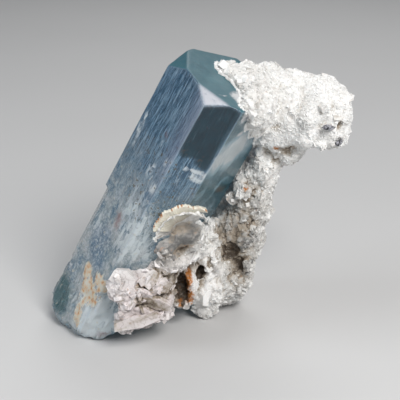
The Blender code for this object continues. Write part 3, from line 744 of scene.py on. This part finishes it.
def feldspar(name, group, tint):
    """An albite material: the shared look, fed by a piece's masks and tinted."""
    material, tree, shader = new_material(name)
    look = put(tree, "Group", {
        "Place": put(tree, "TexCoord").outputs["Object"],
        "Tint": blend(tree, mask(tree, "pink"), (1, 1, 1), tint),
        "Tone": mask(tree, "tone"),
        "Hollow": mask(tree, "hollow"),
        "Rust": mask(tree, "rust"),
        "Cracks": mask(tree, "cracks"),
    }, node_tree=group).outputs
    bump = put(tree, "Bump", {"Strength": 0.5, "Distance": 0.0003, "Height": look["Height"]}).outputs[0]
    feed(tree, shader, Base_Color=look["Color"], Normal=bump, Roughness=look["Roughness"])
    shader.inputs["Subsurface Weight"].default_value = 0.3
    shader.inputs["Subsurface Radius"].default_value = (1.0, 0.9, 0.85)
    shader.inputs["Subsurface Scale"].default_value = 0.0009
    return material


look_of_albite = feldspar_look()
albite = feldspar("albite", look_of_albite, (0.94, 0.86, 0.88))
mass = new_piece("albite_mass", points, faces, albite, "albite", "albite_matrix")


def paint(piece, points, hollow, tone):
    """Gives a piece its masks: how hollow and dark with painted shade, how rusty, how pink, and how bright,
    with painted light and shade on its tone.
    """
    # The knob painted lighter, as lit, and the places of SHADES painted lighter or darker.
    lighter = 0.24 * np.clip(near(points, KNOB_MIDDLE, (18, 20, 12)) * 1.4, 0, 1)
    for centre, reach, gain in SHADES:
        lighter += near(points, centre, reach) * gain
    in_cluster = near(points, CLUSTER_MIDDLE, (11, 10, 10))
    add_mask(piece, "hollow", hollow + shade_and_rust(points, 2))
    add_mask(piece, "rust", shade_and_rust(points, 3))
    add_mask(piece, "pink", in_cluster * 1.3)
    add_mask(piece, "cracks", 0.15 + 0.85 * in_cluster)
    add_mask(piece, "tone", tone + lighter)


SNOW_AND_GLINT_SPOTS = [  # thin white patches on the crystal, and one painted glint low on its left: where, and the reach
    ((9.4, -15.4, 65.2), (1.8, 2.6, 1.0)),
    ((10.8, -18.0, 60.2), (1.2, 2.5, 1.4)),
    ((10.2, -14.6, 55.6), (1.2, 2.5, 0.8)),
    # a painted glint
    ((-32.8, -0.9, 16.5), (0.8, 1.4, 1.1)),
]
STEP_LINE = [  # a thin white line painted along a low step across the top
    ((5.2, -19.3, 66.4), (6.4, -18.4, 65.8)),
    ((6.4, -18.4, 65.8), (7.9, -17.0, 65.9)),
    ((7.9, -17.0, 65.9), (10.2, -13.6, 66.2)),
]
paint(mass, points, hollow, 0.50)
facing_crystal = points[np.abs(within.max(axis=1)) < 1.2]
albite_tree = KDTree(len(facing_crystal))
for number, point in enumerate(facing_crystal):
    albite_tree.insert(point, number)
albite_tree.balance()
gaps = np.array([albite_tree.find(point)[2] for point in crystal_points])
snow_and_glint = np.exp(-((gaps / 0.9) ** 2)) * (crystal_points[:, 2] > 30)
snow_and_glint += sum(near(crystal_points, spot, reach) for spot, reach in SNOW_AND_GLINT_SPOTS)
for first, second in STEP_LINE:
    run = np.subtract(second, first)
    share = np.clip((crystal_points - first) @ run / (run @ run), 0, 1)
    apart = np.linalg.norm(crystal_points - first - share[:, None] * run, axis=1)
    snow_and_glint += 0.7 * np.exp(-((apart / 0.22) ** 2))
add_mask(crystal, "snow_and_glint", snow_and_glint)

# ---------------------------------------------------------------------------------------------
# Sugary grains and blocks: small blunt albite crystals all over the mass, set into it at every
# angle, finest on the knob and coarsest down the body.
# ---------------------------------------------------------------------------------------------

SEED = 8
GRAINS, GRAIN_SIZES = 13000, (0.28, 0.65)
BLOCKS, BLOCK_SIZES = 4400, (0.7, 1.7)
RIM_SHARE, RIM_SIZES = 0.35, (0.35, 0.75)  # the thin line of grains where the albite meets the crystal's top


def scattered(points, faces, weights, count, draw):
    """Random spots on a mesh of quads, more where weights are high: their places, and the face each is on."""
    a, b, c, d = (points[faces[:, k]] for k in range(4))
    area = np.linalg.norm(np.cross(c - a, d - b), axis=1) * np.clip(weights[faces].mean(axis=1), 0, None)
    chosen = draw.choice(len(faces), count, p=area / area.sum())
    u, v = draw.random((2, count, 1))
    left = a[chosen] * (1 - v) + d[chosen] * v
    right = b[chosen] * (1 - v) + c[chosen] * v
    return left * (1 - u) + right * u, chosen


def random_turns(draw, count):
    """Turns spread evenly over every direction, as matrices."""
    q = draw.normal(size=(count, 4))
    w, x, y, z = (q / np.linalg.norm(q, axis=1, keepdims=True)).T
    return np.stack([
        np.stack([1 - 2 * (y * y + z * z), 2 * (x * y - z * w), 2 * (x * z + y * w)], -1),
        np.stack([2 * (x * y + z * w), 1 - 2 * (x * x + z * z), 2 * (y * z - x * w)], -1),
        np.stack([2 * (x * z - y * w), 2 * (y * z + x * w), 1 - 2 * (x * x + y * y)], -1),
    ], axis=1)


# A plate: a six-sided sheet with uneven corners, thinner at its far side.
PLATE_RIM = [(-0.50, -0.30), (0.05, -0.50), (0.50, -0.22), (0.42, 0.30), (-0.05, 0.50), (-0.46, 0.24)]
PLATE = np.array([(x, y, z * (1 + 0.5 * y)) for z in (-0.5, 0.5) for x, y in PLATE_RIM])
PLATE_FACES = np.array(
    [(3, 2, 1, 0), (5, 4, 3, 0), (6, 7, 8, 9), (6, 9, 10, 11)]
    + [(k, (k + 1) % 6, (k + 1) % 6 + 6, k + 6) for k in range(6)]
)
# A blunt crystal: a box whose upper corners are drawn in.
STUB = np.array([
    (-1, -1, -1), (1, -1, -1), (1, 1, -1), (-1, 1, -1),
    (-0.7, -0.8, 1), (0.75, -0.7, 0.8), (0.7, 0.75, 1), (-0.75, 0.7, 0.7),
]) * 0.5
STUB_FACES = np.array([(0, 3, 2, 1), (4, 5, 6, 7), (0, 1, 5, 4), (1, 2, 6, 5), (2, 3, 7, 6), (3, 0, 4, 7)])


def many(shape, shape_faces, spots, turns, sizes):
    """Copies of one small shape joined in one mesh, each turned, stretched and put in its place."""
    copies = np.einsum("nij,nkj->nki", turns, shape[None] * sizes[:, None]) + spots[:, None]
    shift = (np.arange(len(spots)) * len(shape))[:, None, None]
    return copies.reshape(-1, 3), (shape_faces[None] + shift).reshape(-1, 4)


def grow(name, weights, count, size_range, sunk, draw):
    """A crop of blunt crystals scattered over the mass, each sunk in it by a share of its size."""
    spots, chosen = scattered(points, faces, weights, count, draw)
    sizes = draw.uniform(*size_range, (count, 1)) * draw.uniform(0.6, 1.25, (count, 3))
    seats = faces[chosen, 0]
    spots = spots - normals[seats] * sizes.mean(axis=1, keepdims=True) * sunk
    crop_points, crop_faces = many(STUB, STUB_FACES, spots, random_turns(draw, count), sizes)
    crop_points[:, 2] = np.maximum(crop_points[:, 2], 0)
    crop = new_piece(name, crop_points, crop_faces, albite, "albite", "albite_matrix", smooth=False)
    tone = np.repeat(0.55 + draw.uniform(-0.30, 0.30, count), len(STUB))
    # Each crystal takes the painted shade of the hollow it sits in.
    paint(crop, crop_points, np.repeat(hollow[seats] * 0.8 - 0.1, len(STUB)), tone)


draw = np.random.default_rng(SEED)
edge_of_knob = on_knob * near(points, (31.0, -1.0, 53.0), (9, 9, 5))
weights = (0.25 + 1.2 * on_knob + 0.35 * (normals[:, 0] > 0.2)) * (1 - on_fan) * (1 - 0.6 * on_tooth)
grow("albite_grains", weights * (1 - 0.8 * on_cluster), GRAINS, GRAIN_SIZES, 0.25, draw)
weights = (on_body + 0.45 * on_tooth + 0.35 * on_cluster + 0.9 * edge_of_knob + 0.08 * on_knob) * (1 - on_fan)
rim_spots = crystal_points[(gaps < 0.8) & (gaps > 0.05) & (crystal_points[:, 2] > 44)]
rim_spots = rim_spots[draw.random(len(rim_spots)) < RIM_SHARE]
rim_sizes = draw.uniform(*RIM_SIZES, (len(rim_spots), 1)) * draw.uniform(0.6, 1.25, (len(rim_spots), 3))
rim_turns = random_turns(draw, len(rim_spots))
rim_points, rim_faces = many(STUB, STUB_FACES, rim_spots, rim_turns, rim_sizes)
snow_rim = new_piece("albite_snow", rim_points, rim_faces, albite, "albite", "albite_matrix", smooth=False)
paint(snow_rim, rim_points, np.full(len(rim_points), -0.2), 0.75)
grow("albite_blocks", weights * (hollow < 0.75), BLOCKS, BLOCK_SIZES, 0.42, draw)

# ---------------------------------------------------------------------------------------------
# Cleavelandite: stout six-sided blades of albite, grown in the mass at all angles, in the cluster
# and on the bridge. The largest are placed one by one, with a few that make the tooth's ridges.
# ---------------------------------------------------------------------------------------------

SLABS = [  # the large blades of the cluster and the ridges of the tooth: middle, spans and turns
    ((-17.4, -18.4, 20.2), (6.6, 5.2, 2.2), (78, 24, -18)),
    ((-11.6, -18.2, 20.6), (5.4, 2.6, 0.9), (62, -36, 12)),
    ((-10.8, -18.2, 20.0), (4.8, 3.0, 0.7), (84, -50, 24)),
    ((-8.2, -16.4, 17.6), (4.4, 4.2, 1.2), (104, 34, 34)),
    ((-9.6, -17.6, 13.6), (7.4, 3.6, 1.3), (110, 24, 10)),
    ((-14.4, -17.4, 9.0), (12.4, 3.8, 3.4), (84, -14, 4)),
    ((-16.6, -18.8, 14.6), (4.6, 4.6, 1.4), (70, -28, -24)),
    ((-13.0, -18.8, 16.6), (5.4, 2.8, 1.0), (120, 18, 8)),
    ((-1.2, -2.4, 18.4), (2.6, 9.5, 2.0), (92, 4, -20)),
    ((2.8, -2.0, 18.0), (2.0, 7.0, 1.8), (86, -8, 16)),
    ((2.6, -1.9, 8.0), (3.6, 5.4, 2.2), (94, -6, 30)),
]
BLADES = 110
BLADE_SPANS = [(1.6, 4.2), (1.2, 2.8), (0.35, 0.9)]  # least and most: length, width and thickness
weights = on_cluster * (hollow < 0.6) * (normals[:, 1] < 0.3) + 0.15 * near(points, (-7, -12, 25), (6, 6, 5))
weights *= (1 - shade_and_rust(points, 2)) * (points[:, 2] > 8)
spots, chosen = scattered(points, faces, weights, BLADES, draw)
sizes = np.stack([draw.uniform(*span, BLADES) for span in BLADE_SPANS], 1)
seats = faces[chosen, 0]
spots = np.vstack([spots - normals[seats] * 0.6, [slab[0] for slab in SLABS]])
sizes = np.vstack([sizes, [slab[1] for slab in SLABS]])
turns = [np.array(Euler([math.radians(turn) for turn in slab[2]]).to_matrix()) for slab in SLABS]
turns = np.concatenate([random_turns(draw, BLADES), turns])
blade_points, blade_faces = many(PLATE, PLATE_FACES, spots, turns, sizes)
blade_points[:, 2] = np.maximum(blade_points[:, 2], 0)
blades = new_piece(
    "cleavelandite_blades", blade_points, blade_faces, albite, "albite", "albite_matrix", smooth=False,
)
tone = 0.56 + draw.uniform(-0.42, 0.42, len(spots))
tone[BLADES:] = 0.62 + draw.uniform(-0.12, 0.12, len(SLABS))
tone = np.repeat(tone, len(PLATE))
# Each blade takes the painted shade of the hollow it sits in.
sunken = np.concatenate([hollow[seats] * 0.6 - 0.1, np.full(len(SLABS), -0.05)])
paint(blades, blade_points, np.repeat(sunken, len(PLATE)), tone)

# ---------------------------------------------------------------------------------------------
# The fan: a small crescent of creamy albite with a rusty rim, on the crystal's front edge. Its blades
# grew side by side from one root, so they show as ribs on one curved lip.
# ---------------------------------------------------------------------------------------------

FAN_ROOT = (-2.9, -17.8, 32.6)
FAN_TURN = Euler((math.radians(12), math.radians(2), math.radians(8))).to_matrix()
FAN_REACH = 7.9
FAN_INNER = (0.94, 0.42)  # where the blades leave the mass, as shares of the reach: at the tip and past it
FAN_SWEEP = (math.radians(50), math.radians(172))
FAN_RIBS = 23
FAN_ROUND, FAN_OUT = 260, 46
across, out = np.meshgrid(np.linspace(0, 1, FAN_ROUND), np.linspace(0, 1, FAN_OUT), indexing="ij")


def over_fan(bumps_round, bumps_out, seed):
    """Smooth noise over the fan, from 0 to 1, with so many bumps round it and out along it."""
    places = np.stack([across * bumps_round, out * bumps_out, out * 0], -1).reshape(-1, 3)
    return soft_noise(places, 1.0, seed).reshape(across.shape)


wobble = over_fan(9, 0, 3) - 0.5
fold = np.abs(((across + 0.05 * wobble) * FAN_RIBS) % 1.0 - 0.5) * 2


def fan_skins():
    """The fan's back and front faces, each a grid of points round and out.

    A point's angle sweeps round the root, and its reach runs from the inner rim to the outer one, a little
    shorter between the ribs. It lifts off the crystal as the cube of its way out. The two faces stand a lip
    apart, thickest near the middle, and the front one rises in a ridge along each rib.
    """
    inner = FAN_INNER[1] + (FAN_INNER[0] - FAN_INNER[1]) * np.clip(1 - across * 2.2, 0, 1) ** 1.5
    reach = FAN_REACH * (inner + out * (1 - inner) * (1 - 0.06 * fold - 0.16 * wobble))
    angle = FAN_SWEEP[0] + (FAN_SWEEP[1] - FAN_SWEEP[0]) * across
    lip = 0.35 + 0.85 * np.sin(math.pi * (0.15 + 0.78 * out))
    ribs = (0.14 + 0.3 * wobble) * (1 - fold) * np.sqrt(out)
    rise = 1.3 * out**3 + 0.25 * wobble * out
    skins = []
    for lift in (rise - lip, rise + lip + ribs):
        skin = np.stack([reach * np.cos(angle), -lift, reach * np.sin(angle)], -1)
        skins.append(skin.reshape(-1, 3))
    return np.vstack(skins)


fan_points = fan_skins() @ np.array(FAN_TURN).T + FAN_ROOT
front = grid_faces(FAN_ROUND, FAN_OUT, False)
count = FAN_ROUND * FAN_OUT
rim = np.concatenate([
    np.arange(FAN_OUT), np.arange(1, FAN_ROUND) * FAN_OUT + FAN_OUT - 1,
    (FAN_ROUND - 1) * FAN_OUT + np.arange(FAN_OUT - 2, -1, -1), np.arange(FAN_ROUND - 2, 0, -1) * FAN_OUT,
])
after = np.roll(rim, -1)
side = np.stack([rim, after, after + count, rim + count], 1)
fan_faces = np.vstack([front, front[:, ::-1] + count, side[:, ::-1]])

cream = feldspar("fan_albite", look_of_albite, (0.94, 0.91, 0.8))
fan = new_piece("cleavelandite_fan", fan_points, fan_faces, cream, "albite", "albite_matrix")
rusty_rim = np.clip((out - 0.84) * 6, 0, 1) * np.clip(over_fan(40, 3, 8) * 2 - 0.7, 0, 0.7)
# Painted shade between the ribs and towards the root, and a tone painted lighter towards the lit rim.
shade_between_ribs = 0.22 * fold**2 + 0.50 * (1 - out) ** 2 - 0.12
for name, values in (("hollow", shade_between_ribs), ("rust", rusty_rim), ("tone", 0.22 + 0.52 * out)):
    add_mask(fan, name, np.tile(values.ravel(), 2))
add_mask(fan, "pink", np.ones(2 * count))
add_mask(fan, "cracks", np.full(2 * count, 0.1))

# ---------------------------------------------------------------------------------------------
# Mica: two dark, shiny flakes, each a stack of thin six-sided leaves that differ a little in size.
# The albite grew round them, so they are set in the front of the knob.
# ---------------------------------------------------------------------------------------------

mica, tree, shader = new_material("mica")
place = put(tree, "TexCoord").outputs["Object"]
shine = ramp(tree, noise(tree, place, 1800, 2), (0.40, (0.03, 0.03, 0.035)), (0.60, (0.5, 0.5, 0.55)))
feed(tree, shader, Base_Color=shine)
shader.inputs["Metallic"].default_value = 0.4
shader.inputs["Roughness"].default_value = 0.28
FLAKES = [
    ("mica_flake_1", (31.7, -8.7, 55.6), (3.0, 1.5, 0.7), (24, 10, 12)),
    ("mica_flake_2", (34.7, -5.7, 50.9), (1.9, 1.4, 0.8), (40, -24, 30)),
]
LEAVES = 5
corner = np.radians(np.arange(6) * 60)
for name, centre, spans, turns in FLAKES:
    flake_turn = np.array(Euler([math.radians(turn) for turn in turns]).to_matrix())
    leaf_points, leaf_faces, caps = [], [], []
    for leaf in range(LEAVES):
        size = 0.5 * (1 - 0.12 * ((leaf * 37) % 5) / 4)
        shift = 0.03 * (((leaf * 53) % 7) - 3)
        for level in (leaf / LEAVES - 0.5, (leaf + 0.82) / LEAVES - 0.5):
            ring = np.stack([size * np.cos(corner) + shift, size * np.sin(corner), np.full(6, level)], 1)
            leaf_points.append(ring)
        first = leaf * 12
        sides = [(k, (k + 1) % 6, 6 + (k + 1) % 6, 6 + k) for k in range(6)]
        leaf_faces += (np.array(sides) + first).tolist()
        caps += [tuple(first + 5 - k for k in range(6)), tuple(first + 6 + k for k in range(6))]
    flake_points = (np.vstack(leaf_points) * spans) @ flake_turn.T + centre
    new_piece(name, flake_points, leaf_faces, mica, "mica", name, smooth=False, more_faces=caps)

# ---------------------------------------------------------------------------------------------
# The floor, the lamps and the camera: a pale grey sheet that curves up behind the specimen, a warm
# lamp at the front right, a cool one at the left, a white one behind, and a faint light all round.
# ---------------------------------------------------------------------------------------------

FLOOR_SIDES = (-1.6, 1.6)
SWEEP = [(-1.2, 0.0), (0.5, 0.0), (0.75, 0.04), (0.92, 0.16), (1.0, 0.35), (1.0, 1.2)]  # depth and height
FLOOR_GAP = 0.00002  # keeps the floor just under the specimen
floor_paint, tree, shader = new_material("floor")
place = put(tree, "TexCoord").outputs["Object"]
feed(tree, shader, Base_Color=ramp(tree, noise(tree, place, 6, 2), (0.3, 0.55), (0.7, 0.57)))
shader.inputs["Roughness"].default_value = 0.8
floor_points = [(x, y, z - FLOOR_GAP) for y, z in SWEEP for x in FLOOR_SIDES]
floor_faces = [(2 * k, 2 * k + 1, 2 * k + 3, 2 * k + 2) for k in range(len(SWEEP) - 1)]
floor_mesh = bpy.data.meshes.new("floor")
floor_mesh.from_pydata(floor_points, [], floor_faces)
floor_mesh.materials.append(floor_paint)
floor = bpy.data.objects.new("floor", floor_mesh)
bpy.context.scene.collection.objects.link(floor)


LIT_POINT = Vector((0, 0, 0.035))  # the middle of the specimen


def lamp(name, place, size, watts, colour):
    """A soft square lamp that looks at the specimen."""
    light = bpy.data.lights.new(name, "AREA")
    light.size = size
    light.energy = watts
    light.color = colour
    shown = bpy.data.objects.new(name, light)
    shown.location = place
    shown.rotation_euler = (LIT_POINT - Vector(place)).to_track_quat("-Z", "Y").to_euler()
    bpy.context.scene.collection.objects.link(shown)


lamp("key", (0.18, -0.36, 0.38), 0.22, 2.9, (1.0, 0.98, 0.96))
lamp("left", (-0.5, -0.15, 0.25), 0.30, 1.4, (0.92, 0.96, 1.0))
lamp("back", (0.1, 0.4, 0.5), 0.35, 1.2, (1.0, 1.0, 1.0))
world = bpy.data.worlds.new("studio")
world.use_nodes = True
world.node_tree.nodes["Background"].inputs["Color"].default_value = (0.85, 0.88, 0.92, 1)
world.node_tree.nodes["Background"].inputs["Strength"].default_value = 0.18
bpy.context.scene.world = world

camera = bpy.data.objects.new("camera", bpy.data.cameras.new("camera"))
camera.data.lens = 100
camera.data.sensor_width = 36
CAMERA_TARGET = Vector((0.0009, -0.0198, 0.04116))
CAMERA_RISE = math.radians(20)
CAMERA_DISTANCE = 0.26
back_to_camera = Vector((0, -math.cos(CAMERA_RISE), math.sin(CAMERA_RISE)))
camera.location = CAMERA_TARGET + back_to_camera * CAMERA_DISTANCE
camera.rotation_euler = (math.radians(90) - CAMERA_RISE, 0, 0)
camera.data.clip_start = 0.01
bpy.context.scene.collection.objects.link(camera)
bpy.context.scene.camera = camera
bpy.context.scene.view_settings.view_transform = "Standard"
